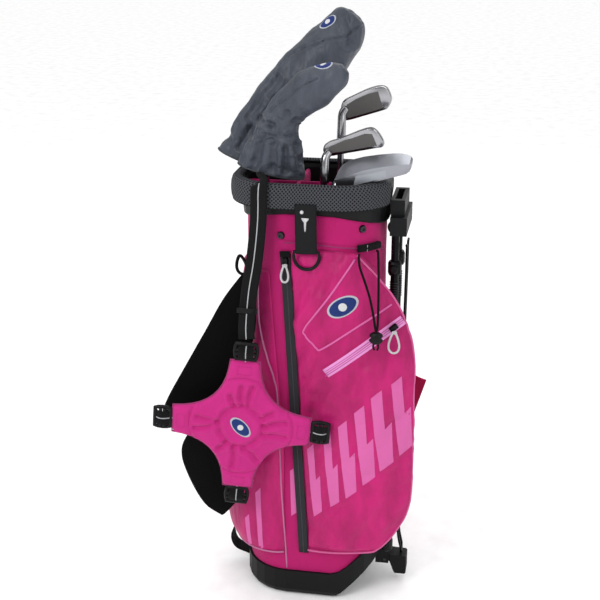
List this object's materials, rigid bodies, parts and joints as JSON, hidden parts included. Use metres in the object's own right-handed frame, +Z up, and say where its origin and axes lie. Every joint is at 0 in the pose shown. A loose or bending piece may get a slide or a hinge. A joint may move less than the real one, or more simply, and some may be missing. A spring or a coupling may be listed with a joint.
{
  "type": "golf club set",
  "caption": "Junior stand bag with harness, pockets, folding rear legs and lift-out clubs: two in headcovers, two irons and a putter.",
  "frame": {"origin": "centre of the flat underside of the bag's base", "axes": "+Z up the bag, +X towards the folding stand, -Y towards the front with the long zip"},
  "size_m": [0.3265, 0.197, 0.7474],
  "materials": {
    "pink_polyester": "woven polyester",
    "pad_polyester": "padded woven polyester",
    "light_pink_tape": "woven zip tape",
    "strap_webbing": "woven",
    "base_plastic": "fine-textured black",
    "collar_plastic": "fine-textured charcoal",
    "spacer_mesh": "padded diamond mesh",
    "tab_vinyl": "smooth vinyl",
    "black_webbing": "woven webbing",
    "black_acetal": "moulded",
    "foot_rubber": "moulded",
    "elastic_cord": "braided elastic",
    "grip_rubber": "grooved",
    "leg_paint": "satin black",
    "stay_fibreglass": "fibreglass",
    "screw_steel": "turned",
    "polished_steel": "polished",
    "satin_steel": "satin",
    "head_lacquer": "lacquered",
    "cover_satin": "padded satin nylon",
    "zip_tape": "woven zip tape",
    "zip_slider": "black",
    "white_pull": "smooth"
  },
  "bodies": {
    "bag": {"base_cup": "base_plastic", "body_sleeve": "pink_polyester", "collar_frame": "collar_plastic", "collar_pad": "spacer_mesh", "club_divider": "pink_polyester", "stay_rod_left": "stay_fibreglass", "stay_rod_right": "stay_fibreglass", "collar_screw_left": "screw_steel", "collar_screw_right": "screw_steel", "apparel_pocket": "pink_polyester", "side_pocket": "pink_polyester", "glove_tab": "tab_vinyl", "cord_anchor": "black_acetal", "elastic_cord": "elastic_cord", "cord_lock": "black_acetal", "long_zip": "zip_tape", "short_zip": "light_pink_tape", "leg_bracket": "collar_plastic", "leg_pin_left": "screw_steel", "leg_pin_right": "screw_steel", "rocker_pin": "screw_steel", "leg_strap": "strap_webbing", "harness_pad": "pad_polyester", "upper_strap": "black_webbing", "shoulder_strap": "black_webbing", "lower_shoulder_strap": "black_webbing", "lower_strap": "black_webbing", "webbing_loop": "black_webbing", "buckle_top": "black_acetal", "buckle_left": "black_acetal", "buckle_bottom": "black_acetal", "buckle_right": "black_acetal"},
    "leg_left_body": {"leg_left": "leg_paint", "leg_foot_left": "foot_rubber"},
    "leg_right_body": {"leg_right": "leg_paint", "leg_foot_right": "foot_rubber"},
    "rocker_body": {"base_rocker": "base_plastic"},
    "rod_body": {"actuator_rod": "leg_paint"},
    "ring_body": {"towel_ring": "black_acetal"},
    "long_slider_body": {"long_zip_slider": "zip_slider"},
    "long_pull_body": {"long_zip_pull": "white_pull"},
    "short_slider_body": {"short_zip_slider": "zip_slider"},
    "short_pull_body": {"short_zip_pull": "white_pull"},
    "driver": {"driver_shaft": "polished_steel", "driver_grip": "grip_rubber", "driver_head": "head_lacquer", "driver_cover": "cover_satin"},
    "hybrid": {"hybrid_shaft": "polished_steel", "hybrid_grip": "grip_rubber", "hybrid_head": "head_lacquer", "hybrid_cover": "cover_satin"},
    "iron": {"iron_shaft": "polished_steel", "iron_grip": "grip_rubber", "iron_head": "satin_steel"},
    "wedge": {"wedge_shaft": "polished_steel", "wedge_grip": "grip_rubber", "wedge_head": "satin_steel"},
    "putter": {"putter_shaft": "polished_steel", "putter_grip": "grip_rubber", "putter_head": "satin_steel"}
  },
  "joints": [
    {"name": "leg_left_swing", "type": "hinge", "parent": "bag", "child": "leg_left_body", "pos_m": [0.0995, -0.022, 0.505], "axis": [-0.2588, -0.9659, 0], "range_deg": [0, 25]},
    {"name": "leg_right_swing", "type": "hinge", "parent": "bag", "child": "leg_right_body", "pos_m": [0.0995, 0.022, 0.505], "axis": [0.2588, -0.9659, 0], "range_deg": [0, 25]},
    {"name": "rocker_press", "type": "hinge", "parent": "bag", "child": "rocker_body", "pos_m": [0.0965, 0, 0.035], "axis": [0, -1, 0], "range_deg": [0, 25]},
    {"name": "rod_follow", "type": "hinge", "parent": "rocker_body", "child": "rod_body", "pos_m": [0.1175, 0, 0.0425], "axis": [0, 1, 0], "range_deg": [0, 27]},
    {"name": "ring_swing", "type": "hinge", "parent": "bag", "child": "ring_body", "pos_m": [-0.004, -0.0775, 0.4835], "axis": [-1, 0, 0], "range_deg": [0, 80]},
    {"name": "long_zip_slide", "type": "slide", "parent": "bag", "child": "long_slider_body", "axis": [0.0562, 0.0019, -0.9984], "range_m": [0, 0.375]},
    {"name": "long_pull_swing", "type": "hinge", "parent": "long_slider_body", "child": "long_pull_body", "pos_m": [-0.0281, -0.0737, 0.465], "axis": [-1, 0, 0], "range_deg": [0, 90]},
    {"name": "short_zip_slide", "type": "slide", "parent": "bag", "child": "short_slider_body", "axis": [-0.7743, -0.224, -0.5919], "range_m": [0, 0.055]},
    {"name": "short_pull_swing", "type": "hinge", "parent": "short_slider_body", "child": "short_pull_body", "pos_m": [0.1061, -0.0741, 0.3889], "axis": [-0.9707, -0.2402, 0], "range_deg": [0, 60]},
    {"name": "driver_lift", "type": "slide", "parent": "bag", "child": "driver", "axis": [-0.0411, -0.0235, 0.9989], "range_m": [0, 0.6]},
    {"name": "hybrid_lift", "type": "slide", "parent": "bag", "child": "hybrid", "axis": [-0.0235, -0.0059, 0.9997], "range_m": [0, 0.6]},
    {"name": "iron_lift", "type": "slide", "parent": "bag", "child": "iron", "axis": [0.0261, -0.0349, 0.9991], "range_m": [0, 0.6]},
    {"name": "wedge_lift", "type": "slide", "parent": "bag", "child": "wedge", "axis": [0.0242, -0.0261, 0.9994], "range_m": [0, 0.6]},
    {"name": "putter_lift", "type": "slide", "parent": "bag", "child": "putter", "axis": [0.0381, -0.0137, 0.9992], "range_m": [0, 0.58]}
  ],
  "couplings": [
    {"joint": "leg_right_swing", "follows": "leg_left_swing", "ratio": 1},
    {"joint": "rocker_press", "follows": "leg_left_swing", "ratio": 1},
    {"joint": "rod_follow", "follows": "leg_left_swing", "ratio": 1.078}
  ]
}
